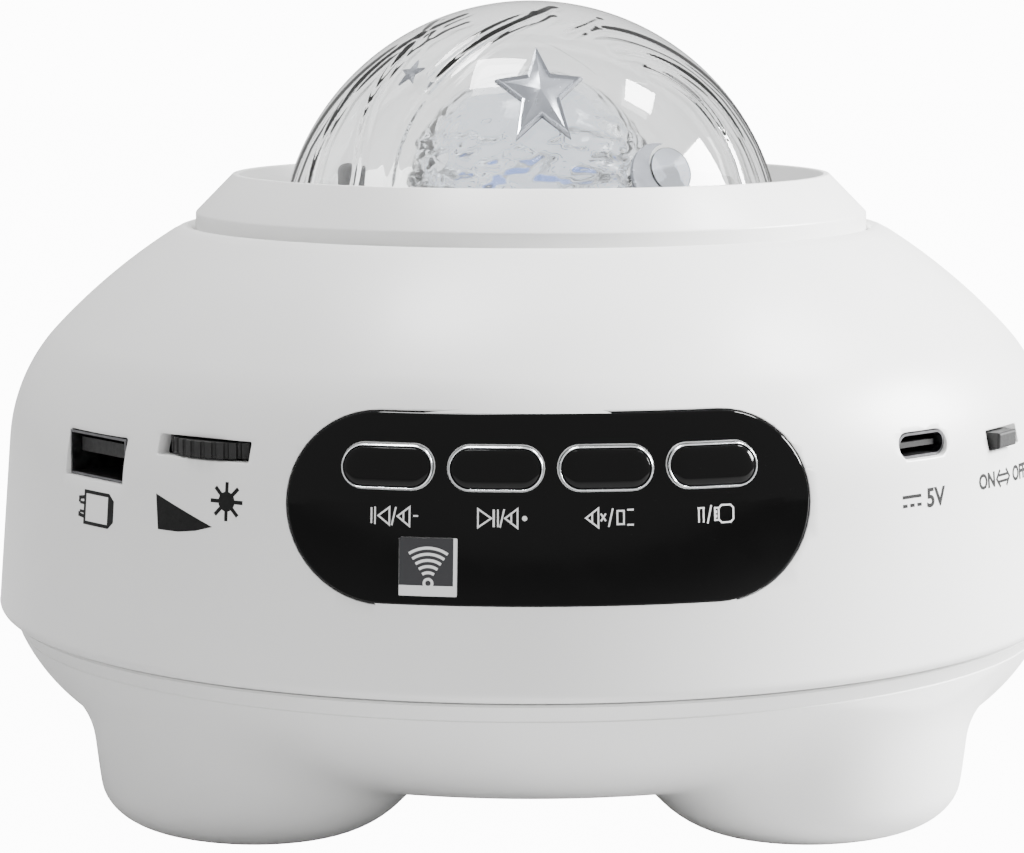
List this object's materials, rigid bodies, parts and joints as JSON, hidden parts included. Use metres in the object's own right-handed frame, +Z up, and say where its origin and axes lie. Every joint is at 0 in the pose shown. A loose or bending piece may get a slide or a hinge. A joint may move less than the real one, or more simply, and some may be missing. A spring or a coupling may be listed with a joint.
{
  "type": "star night light projector",
  "caption": "Saucer-shaped bedside light projector on moulded feet, with a clear star dome, a front button panel and side ports.",
  "frame": {"origin": "on the ground under the middle of the housing", "axes": "+Z up along the axis of the dome; -Y is the front, which the button panel faces; +X is to the right seen from the front"},
  "size_m": [0.1502, 0.15, 0.1081],
  "materials": {
    "white_shell": "satin moulded white ABS",
    "clear_lens": "clear polished polycarbonate",
    "panel_black": "high-gloss black acrylic",
    "smoked_window": "smoked infrared-passing acrylic",
    "button_black": "gloss black moulded caps",
    "black_plastic": "matt black moulded plastic",
    "laser_black": "black anodised barrel",
    "socket_steel": "nickel-plated sheet steel",
    "screw_steel": "zinc-plated steel",
    "board_green": "solder-masked circuit board",
    "board_white": "white solder-masked light board",
    "led_yellow": "phosphor-filled silicone",
    "sink_aluminium": "extruded aluminium",
    "pad_rubber": "soft grey rubber",
    "cone_paper": "pressed paper cone with rubber edge",
    "magnet_dark": "plated magnet cup",
    "lead_insulation": "insulated twin lead"
  },
  "bodies": {
    "housing": {"board_components": "black_plastic", "button_board": "board_green", "button_carrier": "black_plastic", "button_switches": "black_plastic", "carrier_screws": "screw_steel", "collimator_lens": "clear_lens", "control_panel": "panel_black", "crown_ring": "white_shell", "crown_ring_screws": "screw_steel", "dimmer_body": "black_plastic", "dome_lens": "clear_lens", "foot_pads": "pad_rubber", "gear_motor": "socket_steel", "heat_sink": "sink_aluminium", "housing_screws": "screw_steel", "infrared_receiver": "black_plastic", "inlet_board": "board_green", "inlet_riser": "black_plastic", "ir_window": "smoked_window", "laser_module": "laser_black", "led_board": "board_white", "lens_deck": "white_shell", "light_lead": "lead_insulation", "light_leds": "led_yellow", "lower_housing": "white_shell", "main_board": "board_green", "main_board_screws": "screw_steel", "motor_lead": "lead_insulation", "motor_screws": "screw_steel", "power_switch_body": "black_plastic", "rotor_clip": "black_plastic", "sink_screws": "screw_steel", "speaker_cone": "cone_paper", "speaker_frame": "socket_steel", "speaker_gasket": "pad_rubber", "speaker_lead": "lead_insulation", "speaker_magnet": "magnet_dark", "speaker_screws": "screw_steel", "upper_housing": "white_shell", "usb_a_socket_shell": "socket_steel", "usb_a_socket_tongue": "black_plastic", "usb_c_socket_shell": "socket_steel", "usb_c_socket_tongue": "black_plastic"},
    "button_1": {"button_cap_1": "button_black", "switch_plunger_1": "black_plastic"},
    "button_2": {"button_cap_2": "button_black", "switch_plunger_2": "black_plastic"},
    "button_3": {"button_cap_3": "button_black", "switch_plunger_3": "black_plastic"},
    "button_4": {"button_cap_4": "button_black", "switch_plunger_4": "black_plastic"},
    "dimmer": {"dimmer_wheel": "black_plastic"},
    "switch_slider": {"power_switch_knob": "black_plastic"},
    "ripple_rotor": {"rotor_gear": "white_shell", "ripple_lens": "clear_lens"},
    "drive_pinion": {"motor_pinion": "white_shell", "motor_shaft": "socket_steel"}
  },
  "joints": [
    {"name": "button_press_1", "type": "slide", "parent": "housing", "child": "button_1", "axis": [0.2381, 0.9712, 0], "range_m": [0, 0.0005], "stiffness_N_per_m": 600, "springref_m": -0.0006},
    {"name": "button_press_2", "type": "slide", "parent": "housing", "child": "button_2", "axis": [0.058, 0.9983, 0], "range_m": [0, 0.0005], "stiffness_N_per_m": 600, "springref_m": -0.0006},
    {"name": "button_press_3", "type": "slide", "parent": "housing", "child": "button_3", "axis": [-0.124, 0.9923, 0], "range_m": [0, 0.0005], "stiffness_N_per_m": 600, "springref_m": -0.0006},
    {"name": "button_press_4", "type": "slide", "parent": "housing", "child": "button_4", "axis": [-0.302, 0.9533, 0], "range_m": [0, 0.0005], "stiffness_N_per_m": 600, "springref_m": -0.0006},
    {"name": "dimmer_turn", "type": "hinge", "parent": "housing", "child": "dimmer", "pos_m": [-0.0359, -0.05262, 0.0531], "axis": [0, 0, 1], "range_deg": [-140, 140]},
    {"name": "power_slide", "type": "slide", "parent": "housing", "child": "switch_slider", "axis": [0.5314, 0.8471, 0], "range_m": [0, 0.003]},
    {"name": "ripple_spin", "type": "hinge", "parent": "housing", "child": "ripple_rotor", "pos_m": [0, 0, 0.068], "axis": [0, 0, 1], "continuous": true},
    {"name": "pinion_spin", "type": "hinge", "parent": "housing", "child": "drive_pinion", "pos_m": [0, 0.0249, 0.068], "axis": [0, 0, 1], "continuous": true}
  ],
  "couplings": [
    {"joint": "pinion_spin", "follows": "ripple_spin", "ratio": -4.1667}
  ]
}
